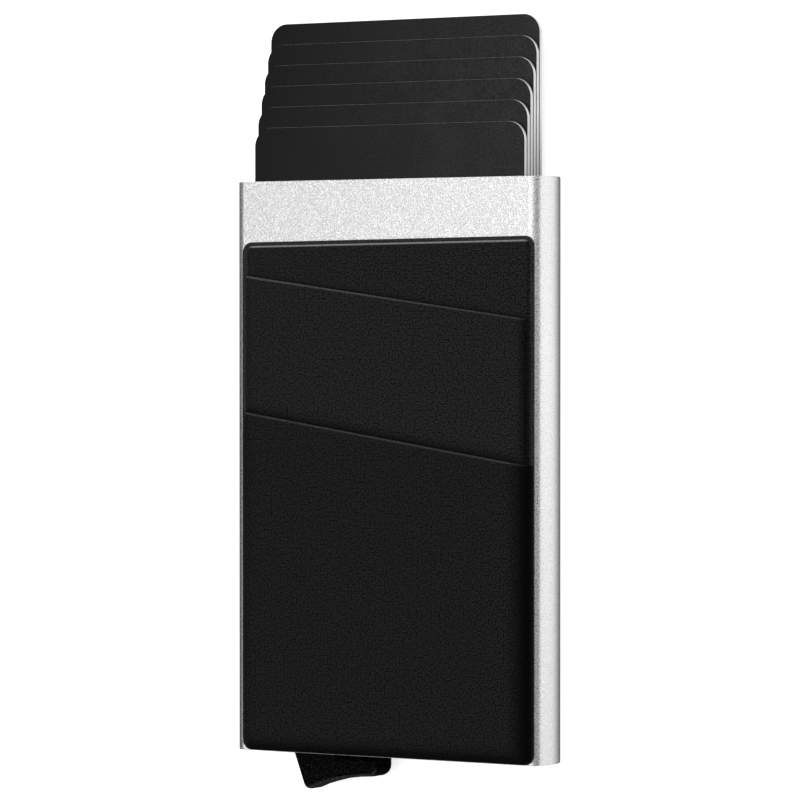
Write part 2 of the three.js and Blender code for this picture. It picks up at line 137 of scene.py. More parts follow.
class Graph:
    """The shader nodes of one material or of the world."""

    noise_roughness = 0.55
    cell_smoothness = 0.2

    def __init__(self, tree: bpy.types.NodeTree) -> None:
        """Empty the tree."""
        tree.nodes.clear()
        self.tree = tree

    def node(
        self,
        kind: str,
        settings: Optional[dict[str, object]] = None,
        sockets: Optional[Sockets] = None,
        output: Union[int, str] = 0,
    ) -> Shade:
        """Add a node.

        Args:
            kind: the node's type.
            settings: the node's own properties, set first.
            sockets: values or links of its inputs, by name or number.
            output: the output that is wanted.

        Returns:
            That output, or the first input of a node that has none.
        """
        made = self.tree.nodes.new(kind)
        for name, value in (settings or {}).items():
            setattr(made, name, value)
        for key, value in (sockets or {}).items():
            if isinstance(value, Shade):
                self.tree.links.new(value.socket, made.inputs[key])
            else:
                made.inputs[key].default_value = value
        return Shade(self, made.outputs[output] if made.outputs else made.inputs[0])

    def maths(self, operation: str, first: Number, second: Number) -> Shade:
        """Add a Math node for two values."""
        return self.node("ShaderNodeMath", {"operation": operation}, {0: first, 1: second})

    def most(self, first: Shade, second: Shade) -> Shade:
        """The larger of two values."""
        return self.maths("MAXIMUM", first, second)

    def place(self, stretch: Optional[Triple] = None) -> Shade:
        """The piece's own coordinates.

        Args:
            stretch: factors along X, Y and Z, or None.

        Returns:
            A vector in metres.
        """
        plain = self.node("ShaderNodeTexCoord", output="Object")
        if stretch is None:
            return plain
        return self.node("ShaderNodeVectorMath", {"operation": "MULTIPLY"}, {0: plain, 1: stretch})

    def axis(self, vector: Shade, name: str) -> Shade:
        """The X, Y or Z of a vector."""
        return self.node("ShaderNodeSeparateXYZ", sockets={0: vector}, output=name)

    def noise(self, place: Shade, size: float, detail: Detail = Detail.SOFT) -> Shade:
        """Noise from 0 to 1.

        Args:
            place: the coordinates it is drawn on.
            size: about how wide its lumps are.
            detail: how many finer layers it has.

        Returns:
            The noise.
        """
        sockets = {
            "Vector": place,
            "Scale": 1.0 / size,
            "Detail": detail.value,
            "Roughness": self.noise_roughness,
        }
        return self.node("ShaderNodeTexNoise", sockets=sockets)

    def cells(self, place: Shade, size: float, disorder: float, kind: Cells) -> Shade:
        """Distance to the nearest cell's middle.

        Args:
            place: the coordinates they are drawn on.
            size: about how wide the cells are.
            disorder: how far they stray from a regular grid, up to 1.
            kind: flat or solid cells.

        Returns:
            A value from 0 in the middles to about 0.7 between cells.
        """
        settings = {"feature": "SMOOTH_F1", "voronoi_dimensions": kind.value}
        sockets = {
            "Vector": place,
            "Scale": 1.0 / size,
            "Smoothness": self.cell_smoothness,
            "Randomness": disorder,
        }
        return self.node("ShaderNodeTexVoronoi", settings, sockets, "Distance")

    def stretch(self, value: Shade, low: float, high: float) -> Shade:
        """Spread the values between low and high over 0 to 1."""
        sockets = {"Value": value, "From Min": low, "From Max": high}
        return self.node("ShaderNodeMapRange", sockets=sockets)

    def blend(self, factor: Shade, first: Triple, second: Triple) -> Shade:
        """Mix two colours by a factor, through the colour sockets of a Mix node."""
        sockets = {0: factor, 6: (*first, 1.0), 7: (*second, 1.0)}
        return self.node("ShaderNodeMix", {"data_type": "RGBA"}, sockets, 2)

    def bump(self, height: Shade, depth: float, under: Optional[Shade] = None) -> Shade:
        """Relief on a surface.

        Args:
            height: its height from 0 to 1.
            depth: its depth in metres.
            under: the normal of a coarser relief, or None.

        Returns:
            The bumped normal.
        """
        sockets: Sockets = {"Height": height, "Distance": depth}
        if under is not None:
            sockets["Normal"] = under
        return self.node("ShaderNodeBump", sockets=sockets)

    def surface(self, sockets: Sockets) -> None:
        """Feed a Principled surface to the material's output."""
        shader = self.node("ShaderNodeBsdfPrincipled", sockets=sockets)
        self.node("ShaderNodeOutputMaterial", sockets={"Surface": shader})


def grey(level: float) -> Triple:
    """A neutral colour."""
    return (level, level, level)


def scaled(colour: Triple, factor: float) -> Triple:
    """A colour made lighter or darker."""
    return (colour[0] * factor, colour[1] * factor, colour[2] * factor)


@dataclass(frozen=True)
class Finish:
    """What every finish has: a colour that its pattern darkens and lightens, a gloss and a relief.

    In the finishes below, a plain field such as grain or pore is how wide a pattern's lumps are.
    Its span is the stretch of the pattern that is spread over 0 to 1.
    Its tone and its gloss are how far it changes the colour and the roughness.
    Its way is how it is drawn out along X, Y and Z.
    """

    name: str
    colour: Triple
    roughness: float
    specular: float = 0.5
    darkest: float = 1.0
    lightest: float = 1.0
    relief: float = 0.0

    def material(self) -> bpy.types.Material:
        """The finish's material, made on first use.

        Returns:
            The material.
        """
        made = bpy.data.materials.get(self.name)
        if made is None:
            made = bpy.data.materials.new(self.name)
            made.use_nodes = True
            self.paint(Graph(made.node_tree))
        return made

    def shaded(self, graph: Graph, level: Shade) -> Shade:
        """The colour, from its darkest at level 0 to its lightest at level 1."""
        return graph.blend(level, scaled(self.colour, self.darkest), scaled(self.colour, self.lightest))

    def paint(self, graph: Graph) -> None:
        """Add the finish's nodes."""
        raise NotImplementedError


@dataclass(frozen=True)
class BlastedMetal(Finish):
    """Sand-blasted and anodised aluminium."""

    darkest: float = 0.72
    lightest: float = 1.28
    relief: float = 0.02 * MM
    grain: float = 0.171 * MM
    grain_span: Span = (0.35, 0.65)
    grain_gloss: float = 0.1
    cloud: float = 9 * MM
    cloud_gloss: float = 0.05
    # Painted shade: a dark tint of the reflection at grazing angles, which darkens the metal's outline.
    grazing_shade: Triple = grey(0.38)
    # Where the sparkle fades on the narrow sides: painted light, as these sides mirror an even floor.
    side_start: float = SLEEVE_HIGH.x - 0.85 * MM
    side_end: float = SLEEVE_HIGH.x - 0.25 * MM
    side_smoothness: float = 0.5

    def paint(self, graph: Graph) -> None:
        """Add the sparkle of the blasting, fainter on the narrow sides, and a slow cloudiness.

        Args:
            graph: the metal's shader.
        """
        place = graph.place()
        across = graph.axis(place, "X")
        outward = across * across
        # Painted light: the sparkle is made fainter on the narrow sides, because they mirror an even
        # floor.
        side = graph.stretch(outward, self.side_start**2, self.side_end**2) * self.side_smoothness
        sparkle = graph.stretch(graph.noise(place, self.grain, Detail.PLAIN), *self.grain_span)
        grain = sparkle - side * (sparkle - MIDDLE)
        cloud = graph.noise(place, self.cloud)
        gloss = (grain - MIDDLE) * self.grain_gloss + (cloud - MIDDLE) * self.cloud_gloss
        graph.surface({
            "Base Color": self.shaded(graph, grain),
            # The grazing tint paints shade along the metal's outline.
            "Specular Tint": (*self.grazing_shade, 1.0),
            "Metallic": 1.0,
            "Roughness": self.roughness + gloss,
            "Normal": graph.bump(grain, self.relief),
        })


@dataclass(frozen=True)
class Slant:
    """A slanted line across the case: its Y where X is 0, and its slope."""

    start: float = 0.0
    slope: float = 0.0


@dataclass(frozen=True)
class GrainLeather(Finish):
    """Fine-grained leather, with painted shade on its rolled sides and bottom and just above the opening
    of the panel in front, and a painted highlight along its upper edge.
    """

    darkest: float = 0.1
    lightest: float = 30.0
    relief: float = 0.05 * MM
    pebble: float = 0.37 * MM
    disorder: float = 0.6
    furrow_span: Span = (0.15, 0.55)
    furrow_gloss: float = 0.12
    pore: float = 0.1794 * MM
    pore_span: Span = (0.38, 0.62)
    pore_tone: float = 0.1
    pore_height: float = 0.5
    tone_least: float = 0.4
    tone_gain: float = 1.45
    wave: float = 5 * MM
    wave_relief: float = 0.06 * MM
    wave_gloss: float = 0.08
    sheen: float = 0.35
    sheen_roughness: float = 0.27
    # Painted shade that darkens the rolled sides and the bottom of a panel.
    edge_shade: float = 0.0
    edge_shade_reach: float = 1.0 * MM
    edge_shade_left_share: float = 0.3
    edge_shade_bottom_share: float = 0.5
    edge_shade_right: float = 29.4 * MM
    edge_shade_left: float = -27.7 * MM
    edge_shade_bottom: float = -48.5 * MM
    # Painted shade on a strip just above the opening of the panel in front.
    opening_shade_line: Slant = Slant()
    opening_shade_depth: float = 0.0
    opening_shade_reach: float = 1.5 * MM
    # A painted highlight along the upper edge of a panel.
    highlight_line: Slant = Slant()
    wear_and_highlight: float = 0.0
    highlight_breadth: float = 0.45 * MM
    highlight_full: float = 0.4
    highlight_patchy: float = 0.5

    def painted_shade(self, graph: Graph, place: Shade) -> Shade:
        """How much painted shade darkens the rolled edges and the strip just above the opening of the
        panel in front.

        Args:
            graph: the leather's shader.
            place: the coordinates in the case's frame.

        Returns:
            A value from 0 inside to the full share of painted shade at the edges.
        """
        across = graph.axis(place, "X")
        along = graph.axis(place, "Y")
        left_start = self.edge_shade_left + self.edge_shade_reach * self.edge_shade_left_share
        bottom_start = self.edge_shade_bottom + self.edge_shade_reach * self.edge_shade_bottom_share
        right = graph.stretch(across, self.edge_shade_right - self.edge_shade_reach, self.edge_shade_right)
        left = graph.stretch(across, left_start, self.edge_shade_left)
        bottom = graph.stretch(along, bottom_start, self.edge_shade_bottom)
        # Painted shade on the rolled sides and the bottom.
        edges = graph.most(graph.most(right, left), bottom) * self.edge_shade
        # Painted shade just above the opening of the panel in front.
        above = along - across * self.opening_shade_line.slope - self.opening_shade_line.start
        opening_shade = graph.stretch(above, self.opening_shade_reach, 0.0) * self.opening_shade_depth
        return graph.most(edges, opening_shade)

    def painted_highlight(self, graph: Graph, place: Shade) -> Shade:
        """How much a painted highlight lightens the leather along its upper edge.

        Args:
            graph: the leather's shader.
            place: the coordinates in the case's frame.

        Returns:
            A value from 0 to the full painted highlight along the edge.
        """
        across = graph.axis(place, "X")
        along = graph.axis(place, "Y")
        below = across * self.highlight_line.slope + self.highlight_line.start - along
        return graph.stretch(below, self.highlight_breadth, self.highlight_breadth * self.highlight_full) * self.wear_and_highlight

    def paint(self, graph: Graph) -> None:
        """Add pebbles with darker furrows, fine pores, slow waves, painted shade at the edges and a
        painted highlight along the upper edge.

        Args:
            graph: the leather's shader.
        """
        place = graph.place()
        pebbles = graph.cells(place, self.pebble, self.disorder, Cells.FLAT)
        furrow = graph.stretch(pebbles, *self.furrow_span)
        pore = graph.stretch(graph.noise(place, self.pore, Detail.PLAIN), *self.pore_span)
        wave = graph.noise(place, self.wave)
        # What the painted shade leaves of the leather's own tone.
        unshaded = 1 - self.painted_shade(graph, place)
        tone = ((1 - furrow) * (1 - self.pore_tone) + pore * self.pore_tone) * unshaded
        grain = (tone * self.tone_gain + unshaded * self.tone_least) * (1 / self.lightest)
        # The painted highlight along the upper edge, patchy with the pores.
        patches = pore * self.highlight_patchy + (1 - self.highlight_patchy)
        level = grain + self.painted_highlight(graph, place) * unshaded * patches
        height = (1 - furrow) * (1 - self.pore_height) + pore * self.pore_height
        gloss = furrow * self.furrow_gloss + (wave - MIDDLE) * self.wave_gloss
        broad = graph.bump(wave, self.wave_relief)
        graph.surface({
            "Base Color": self.shaded(graph, level),
            "Roughness": self.roughness + gloss,
            "Specular IOR Level": self.specular,
            "Coat Weight": tone * self.sheen,
            "Coat Roughness": self.sheen_roughness,
            "Normal": graph.bump(height, self.relief, broad),
        })


@dataclass(frozen=True)
class SatinPrint(Finish):
    """The printed face of a card."""

    darkest: float = 0.05
    lightest: float = 3.85
    relief: float = 0.004 * MM
    # Painted light: the card is painted lighter from the left to the right of this span.
    width_span: Span = (-27 * MM, 27 * MM)
    painted_light_left: float = 0.18
    painted_light_gain: float = 1.64
    grain: float = 0.36 * MM
    grain_span: Span = (0.35, 0.65)
    grain_tone: float = 0.14
    grain_gloss: float = 0.06
    wear_and_highlight: float = 7 * MM
    rub_span: Span = (0.45, 0.75)
    rub_tone: float = 0.1
    rub_gloss: float = 0.08
    tone_least: float = 0.1

    def paint(self, graph: Graph) -> None:
        """Add faint print grain, a few patches of wear and painted light that brightens the card towards
        the right.

        Args:
            graph: the print's shader.
        """
        place = graph.place()
        # Painted light, lighter towards the right of the card.
        painted_light = graph.stretch(graph.axis(place, "X"), *self.width_span) * self.painted_light_gain + self.painted_light_left
        grain = graph.stretch(graph.noise(place, self.grain, Detail.PLAIN), *self.grain_span)
        wear_and_highlight = graph.stretch(graph.noise(place, self.wear_and_highlight, Detail.PATCHY), *self.rub_span)
        tone = (grain * self.grain_tone + wear_and_highlight * self.rub_tone + self.tone_least) * painted_light
        graph.surface({
            "Base Color": self.shaded(graph, tone),
            "Roughness": self.roughness + wear_and_highlight * self.rub_gloss + (grain - MIDDLE) * self.grain_gloss,
            "Specular IOR Level": self.specular,
            "Normal": graph.bump(grain, self.relief),
        })


@dataclass(frozen=True)
class CardCore(Finish):
    """The bare white edge of a card, darker where dust clings to it."""

    darkest: float = 0.86
    relief: float = 0.008 * MM
    streak: float = 0.5 * MM
    streak_way: Triple = (1.0, 1.0, 0.1)
    streak_gloss: float = 0.15
    dust: float = 1.5 * MM
    dust_span: Span = (0.8, 0.55)
    polish: float = 1.0
    polish_roughness: float = 0.2

    def paint(self, graph: Graph) -> None:
        """Add the marks of the cutting die along the edge, and the dust.

        Args:
            graph: the core's shader.
        """
        streak = graph.noise(graph.place(self.streak_way), self.streak)
        clean = graph.stretch(graph.noise(graph.place(), self.dust, Detail.PATCHY), *self.dust_span)
        graph.surface({
            "Base Color": self.shaded(graph, clean),
            "Roughness": self.roughness + (streak - MIDDLE) * self.streak_gloss,
            "Specular IOR Level": self.specular,
            "Coat Weight": self.polish,
            "Coat Roughness": self.polish_roughness,
            "Normal": graph.bump(streak, self.relief),
        })


@dataclass(frozen=True)
class Moulding(Finish):
    """A satin black moulding."""

    darkest: float = 0.05
    lightest: float = 4.6
    relief: float = 0.012 * MM
    texture: float = 0.34 * MM
    texture_span: Span = (0.46, 0.66)
    texture_gloss: float = 0.12
    handling: float = 4 * MM
    handling_gloss: float = 0.14

    def paint(self, graph: Graph) -> None:
        """Add the texture of the spark-eroded mould and the uneven gloss of handling.

        Args:
            graph: the moulding's shader.
        """
        place = graph.place()
        texture = graph.stretch(graph.noise(place, self.texture, Detail.PLAIN), *self.texture_span)
        handled = graph.noise(place, self.handling, Detail.FIBROUS)
        gloss = (texture - MIDDLE) * self.texture_gloss + (handled - MIDDLE) * self.handling_gloss
        graph.surface({
            "Base Color": self.shaded(graph, texture),
            "Roughness": self.roughness + gloss,
            "Specular IOR Level": self.specular,
            "Normal": graph.bump(texture, self.relief),
        })


@dataclass(frozen=True)
class DrawnWire(Finish):
    """Drawn steel wire with die lines along Z."""

    darkest: float = 0.85
    lightest: float = 1.1
    relief: float = 0.004 * MM
    line: float = 0.08 * MM
    line_way: Triple = (1.0, 1.0, 0.04)
    line_gloss: float = 0.12

    def paint(self, graph: Graph) -> None:
        """Add the die lines.

        Args:
            graph: the wire's shader.
        """
        lines = graph.noise(graph.place(self.line_way), self.line)
        graph.surface({
            "Base Color": self.shaded(graph, lines),
            "Metallic": 1.0,
            "Roughness": self.roughness + (lines - MIDDLE) * self.line_gloss,
            "Normal": graph.bump(lines, self.relief),
        })


@dataclass(frozen=True)
class CellFoam(Finish):
    """Closed-cell foam."""

    darkest: float = 0.5
    lightest: float = 1.5
    relief: float = 0.06 * MM
    cell: float = 0.32 * MM
    disorder: float = 1.0
    speck: float = 0.9 * MM
    speck_gloss: float = 0.1

    def paint(self, graph: Graph) -> None:
        """Add the cells cut open at the surface.

        Args:
            graph: the foam's shader.
        """
        place = graph.place()
        cell = graph.cells(place, self.cell, self.disorder, Cells.SOLID)
        speck = graph.noise(place, self.speck)
        graph.surface({
            "Base Color": self.shaded(graph, cell),
            "Roughness": self.roughness + (speck - MIDDLE) * self.speck_gloss,
            "Specular IOR Level": self.specular,
            "Normal": graph.bump(cell, self.relief),
        })


@dataclass(frozen=True)
class ShortFelt(Finish):
    """Pressed felt with a short nap."""

    darkest: float = 0.5
    lightest: float = 1.6
    relief: float = 0.08 * MM
    fibre: float = 0.14 * MM
    fibre_across: Triple = (0.25, 1.0, 1.0)
    fibre_along: Triple = (1.0, 0.25, 1.0)
    across_share: float = 0.5
    fibre_gloss: float = 0.1
    sheen: float = 0.3
    sheen_roughness: float = 0.5

    def paint(self, graph: Graph) -> None:
        """Add fibres in two directions and a soft sheen.

        Args:
            graph: the felt's shader.
        """
        across = graph.noise(graph.place(self.fibre_across), self.fibre, Detail.FIBROUS)
        along = graph.noise(graph.place(self.fibre_along), self.fibre, Detail.FIBROUS)
        nap = across * self.across_share + along * (1 - self.across_share)
        graph.surface({
            "Base Color": self.shaded(graph, nap),
            "Roughness": self.roughness + (nap - MIDDLE) * self.fibre_gloss,
            "Specular IOR Level": self.specular,
            "Sheen Weight": self.sheen,
            "Sheen Roughness": self.sheen_roughness,
            "Normal": graph.bump(nap, self.relief),
        })


@dataclass(frozen=True)
class GlueFilm(Finish):
    """A pressed film of black adhesive."""

    darkest: float = 0.6
    lightest: float = 1.4
    relief: float = 0.03 * MM
    thread: float = 0.6 * MM
    thread_way: Triple = (1.0, 0.3, 1.0)
    thread_gloss: float = 0.3

    def paint(self, graph: Graph) -> None:
        """Add the drawn-out threads and the uneven gloss of glue.

        Args:
            graph: the glue's shader.
        """
        threads = graph.noise(graph.place(self.thread_way), self.thread, Detail.FIBROUS)
        graph.surface({
            "Base Color": self.shaded(graph, threads),
            "Roughness": self.roughness + (threads - MIDDLE) * self.thread_gloss,
            "Specular IOR Level": self.specular,
            "Normal": graph.bump(threads, self.relief),
        })


# The upper edges of the leather panels: a highlight is painted along each, and shade is painted just
# above the middle and front edges on the panel behind.
BACK_EDGE = Slant(38.15 * MM, 0.009)
MIDDLE_EDGE = Slant(29.23 * MM, -0.1322)
FRONT_EDGE = Slant(5.44 * MM, -0.1494)

ALUMINIUM = BlastedMetal("blasted_aluminium", (0.78, 0.78, 0.784), 0.32)
BASE_LEATHER = GrainLeather("base_leather", grey(0.024), 0.45, 0.05, sheen=0.05)
# Painted shade above the middle panel's opening and a painted highlight along the top.
BACK_LEATHER = GrainLeather(
    "back_panel_leather", grey(0.0104), 0.4, 0.02, sheen=0.15,
    opening_shade_line=MIDDLE_EDGE, opening_shade_depth=0.35, opening_shade_reach=0.8 * MM,
    highlight_line=BACK_EDGE, wear_and_highlight=1.0, highlight_breadth=0.4 * MM,
)
# Painted shade on the rolled sides and bottom and above the front panel's opening, and a faint painted
# highlight along the opening.
MIDDLE_LEATHER = GrainLeather(
    "middle_panel_leather", grey(0.0124), 0.4, 0.02, sheen=0.1, edge_shade=0.96, edge_shade_reach=2.2 * MM,
    opening_shade_line=FRONT_EDGE, opening_shade_depth=0.6, highlight_line=MIDDLE_EDGE, wear_and_highlight=0.2,
)
# Painted shade on the rolled sides and bottom, and a faint painted highlight along the opening.
FRONT_LEATHER = GrainLeather(
    "front_panel_leather", grey(0.0099), 0.4, 0.02, sheen=0.08, edge_shade=0.97, edge_shade_reach=3.6 * MM,
    highlight_line=FRONT_EDGE, wear_and_highlight=0.155,
)
PRINT = SatinPrint("black_card_print", (0.0144, 0.0144, 0.0145), 0.17, 0.11)
CORE = CardCore("white_card_core", grey(0.96), 0.32, 1.0)
# A lighter copy of the black moulding: a painted highlight on the fin's lower rim.
HIGHLIT_PLASTIC = Moulding("painted_highlight_moulding", grey(0.022), 0.38, 0.1, darkest=0.7, lightest=1.9)
PLASTIC = Moulding("black_moulding", grey(0.0024), 0.4, 0.015)
STEEL = DrawnWire("drawn_pin_steel", (0.6, 0.61, 0.62), 0.28)
FOAM = CellFoam("black_cell_foam", grey(0.022), 0.85, 0.3)
FELT = ShortFelt("grey_felt", (0.06, 0.06, 0.065), 0.9, 0.2)
GLUE = GlueFilm("black_glue", grey(0.012), 0.45, 0.3)


class Part(Enum):
    """What is picked in edit mode."""

    VERTS = "VERT"
    EDGES = "EDGE"
    FACES = "FACE"


class Bench:
    """One mesh object at the origin, shaped in edit mode."""

    def __init__(self, name: str, source: Optional[bpy.types.Object] = None) -> None:
        """Open an empty mesh, or a merged copy of a CAD node's mesh, in edit mode.

        Args:
            name: the piece's name.
            source: the CAD node that is copied, or None.
        """
        bpy.ops.object.select_all(action="DESELECT")
        mesh = source.data.copy() if source else bpy.data.meshes.new(name)
        mesh.materials.clear()
        mesh.name = name
        self.piece = bpy.data.objects.new(name, mesh)
        bpy.context.scene.collection.objects.link(self.piece)
        bpy.context.view_layer.objects.active = self.piece
        self.piece.select_set(True)
        bpy.ops.object.mode_set(mode="EDIT")
        if source:
            bpy.ops.mesh.select_all(action="SELECT")
            bpy.ops.mesh.customdata_custom_splitnormals_clear()
            bpy.ops.mesh.remove_doubles(threshold=MERGE_DISTANCE)
            bpy.ops.mesh.dissolve_limited(angle_limit=FLAT_ANGLE)

    def pick(self, part: Part, test: Callable[[object], bool]) -> None:
        """Select what passes a test, and nothing else.

        Args:
            part: whether vertices, edges or faces are picked.
            test: says whether one of them is picked.
        """
        bpy.ops.mesh.select_mode(type=part.value)
        bpy.ops.mesh.select_all(action="DESELECT")
        cage = bmesh.from_edit_mesh(self.piece.data)
        cage.normal_update()
        found = {Part.VERTS: cage.verts, Part.EDGES: cage.edges, Part.FACES: cage.faces}[part]
        for item in found:
            if test(item):
                item.select_set(True)
        cage.select_flush_mode()
        bmesh.update_edit_mesh(self.piece.data)

    def cube(self, low: Vector, high: Vector) -> None:
        """Add a box between two corners.

        Args:
            low: its lowest corner.
            high: its highest corner.
        """
        middle = (low + high) / 2
        bpy.ops.mesh.primitive_cube_add(size=1, location=middle)
        self.resize(high - low, middle)

    def plate(self, low: Vector, high: Vector, corner: float, steps: int) -> None:
        """Add a flat plate between two corners, with round corners in plan.

        Args:
            low: its lowest corner.
            high: its highest corner.
            corner: the radius of its corners.
            steps: how many facets a corner has.
        """
        size = high - low
        middle = Vector(((low.x + high.x) / 2, (low.y + high.y) / 2, low.z))
        bpy.ops.mesh.primitive_plane_add(size=1, location=middle)
        self.resize((size.x, size.y, 1), middle)
        bpy.ops.mesh.select_mode(type="VERT")
        bpy.ops.mesh.select_all(action="SELECT")
        bpy.ops.mesh.bevel(offset=corner, segments=steps, affect="VERTICES")
        bpy.ops.mesh.select_mode(type="FACE")
        bpy.ops.mesh.select_all(action="SELECT")
        self.extrude((0, 0, size.z))
        self.outward()

    def extrude(self, offset: Sequence[float]) -> None:
        """Extrude the picked faces."""
        bpy.ops.mesh.extrude_region_move(TRANSFORM_OT_translate={"value": offset})

    def resize(self, factors: Sequence[float], centre: Sequence[float]) -> None:
        """Scale what is picked about a point."""
        bpy.ops.transform.resize(value=factors, center_override=centre)

    def swell(self, side: int, centre: Vector, start: Vector, sections: Sequence[Vector]) -> None:
        """Extrude the picked end along X through narrowing sections.

        Args:
            side: 1 to the right, -1 to the left.
            centre: a point on the axis.
            start: distance along X and half height of the picked end.
            sections: the same of each further section.
        """
        last = start
        for section in sections:
            self.extrude((side * (section.x - last.x), 0, 0))
            self.resize((1, 1, section.y / last.y), (side * section.x, centre.y, centre.z))
            last = section

    def bevel(self, width: float, steps: int) -> None:
        """Round the picked edges."""
        bpy.ops.mesh.bevel(offset=width, segments=steps, affect="EDGES", clamp_overlap=True)

    def round_rims(self, width: float, steps: int, least: float = 60.0) -> None:
        """Round every edge that is sharper than an angle.

        Args:
            width: how far the rounding reaches.
            steps: how many facets it has.
            least: the angle in degrees.
        """
        limit = math.radians(least)
        self.pick(Part.EDGES, lambda edge: edge.is_manifold and edge.calc_face_angle() > limit)
        self.bevel(width, steps)

    def outward(self) -> None:
        """Point every face outwards."""
        bpy.ops.mesh.select_all(action="SELECT")
        bpy.ops.mesh.normals_make_consistent(inside=False)

    def number_faces(self, number: int, test: Callable[[bmesh.types.BMFace], bool]) -> None:
        """Give the faces that pass a test the number of a finish.

        Args:
            number: the finish's number.
            test: says whether a face has it.
        """
        cage = bmesh.from_edit_mesh(self.piece.data)
        cage.normal_update()
        for face in cage.faces:
            if test(face):
                face.material_index = number
        bmesh.update_edit_mesh(self.piece.data)

    def done(self, crisp: float, *finishes: Finish) -> bpy.types.Object:
        """Close the mesh, smooth it and dress it.

        Args:
            crisp: edges sharper than this, in degrees, aren't smoothed.
            finishes: the piece's finishes, in the order of its faces' numbers.

        Returns:
            The piece.
        """
        bpy.ops.object.mode_set(mode="OBJECT")
        bpy.ops.object.shade_smooth_by_angle(angle=math.radians(crisp))
        weigh = self.piece.modifiers.new("weigh", "WEIGHTED_NORMAL")
        weigh.keep_sharp = True
        bpy.ops.object.modifier_apply(modifier=weigh.name)
        for finish in finishes:
            self.piece.data.materials.append(finish.material())
        return self.piece


def settle(piece: bpy.types.Object, slot: str, *nodes: str) -> bpy.types.Object:
    """Let a piece stand for CAD nodes and ride on their body.

    Args:
        piece: the finished piece.
        slot: the record's material slot; not used.
        nodes: the CAD nodes that it replaces.

    Returns:
        The piece.
    """
    bodies = frame["record"]["behaviour"]["bodies"]
    body = next(name for name, members in bodies.items() if nodes[0] in members)
    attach(piece, body)
    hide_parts(*nodes)
    return piece


def dress_node(node: str, finish: Finish) -> bpy.types.Object:
    """Give a CAD node that stays a finish.

    Args:
        node: the node's name.
        finish: its finish.

    Returns:
        The node's object.
    """
    kept = frame["nodes"][node]
    kept.data.materials.clear()
    kept.data.materials.append(finish.material())
    return kept


@dataclass
class Sleeve:
    """The extruded aluminium sleeve."""

    wall: float = 0.9 * MM
    edge_radius: float = 2.0 * MM
    side_radius: float = 9.6 * MM
    rim_round: float = 0.12 * MM
    rim_steps: int = 2
    edge_steps: int = 10
    crown_steps: int = 8
    crisp: float = 30.0

    def sections(self, half_width: float, half_height: float) -> list[Vector]:
        """Distances along X and half heights from the flat part to the crown of a side.

        Args:
            half_width: of the whole sleeve.
            half_height: of the whole sleeve.

        Returns:
            The sections, the flat part's edge first.
        """
        crown_x = half_width - self.side_radius
        rise = half_height - self.edge_radius
        edge_x = crown_x + math.sqrt((self.side_radius - self.edge_radius) ** 2 - rise**2)
        crown = math.atan2(rise, edge_x - crown_x)
        made = []
        for step in range(self.edge_steps + 1):
            angle = math.pi / 2 + (crown - math.pi / 2) * step / self.edge_steps
            reach = Vector((math.cos(angle), math.sin(angle))) * self.edge_radius
            made.append(Vector((edge_x, rise)) + reach)
        facets = 2 * self.crown_steps + 1
        for step in range(self.crown_steps):
            angle = crown * (facets - 2 * (step + 1)) / facets
            reach = Vector((math.cos(angle), math.sin(angle))) * self.side_radius
            made.append(Vector((crown_x, 0)) + reach)
        return made

    def build(self) -> list[bpy.types.Object]:
        """Swell a box out at both sides and open it from end to end.

        Returns:
            The sleeve.
        """
        low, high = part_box("sleeve")
        centre = (low + high) / 2
        sections = self.sections((high.x - low.x) / 2, (high.z - low.z) / 2)
        flat = sections[0].x
        bench = Bench("sleeve_shell")
        bench.cube(Vector((-flat, low.y, low.z)), Vector((flat, high.y, high.z)))
        for side in (1, -1):
            bench.pick(Part.FACES, lambda face: face.normal.x * side > FACING)
            bench.swell(side, centre, sections[0], sections[1:])
        bench.pick(Part.FACES, lambda face: abs(face.normal.y) > FACING)
        bpy.ops.mesh.inset(thickness=self.wall, use_even_offset=True)
        bpy.ops.mesh.delete(type="FACE")
        bench.pick(Part.EDGES, lambda edge: edge.is_boundary)
        bpy.ops.mesh.bridge_edge_loops()
        bench.outward()
        bench.round_rims(self.rim_round, self.rim_steps)
        return [settle(bench.done(self.crisp, ALUMINIUM), "anodised_aluminium", "sleeve")]


@dataclass
class CardStack:
    """The six cards, each a black print on a white core."""

    count: int = 6
    corner: float = 3.18 * MM
    corner_steps: int = 12
    rim: float = 0.06 * MM
    rim_steps: int = 2
    print_facing: float = 0.7
    crisp: float = 30.0

    def first(self) -> bpy.types.Object:
        """Model the front card.

        Returns:
            The front card.
        """
        low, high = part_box("card_1")
        bench = Bench("printed_card_1")
        bench.plate(low, high, self.corner, self.corner_steps)
        bench.round_rims(self.rim, self.rim_steps)
        bench.number_faces(SECOND_FINISH, lambda face: abs(face.normal.z) < self.print_facing)
        return bench.done(self.crisp, PRINT, CORE)

    def build(self) -> list[bpy.types.Object]:
        """Copy the front card to the places of the others.

        Returns:
            The cards, the front one first.
        """
        made = [self.first()]
        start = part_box("card_1")[0]
        for number in range(2, self.count + 1):
            mesh = made[0].data.copy()
            mesh.transform(Matrix.Translation(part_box(f"card_{number}")[0] - start))
            card = bpy.data.objects.new(f"printed_card_{number}", mesh)
            bpy.context.scene.collection.objects.link(card)
            made.append(card)
        for number, card in enumerate(made, 1):
            settle(card, "card_plastic", f"card_{number}")
        return made


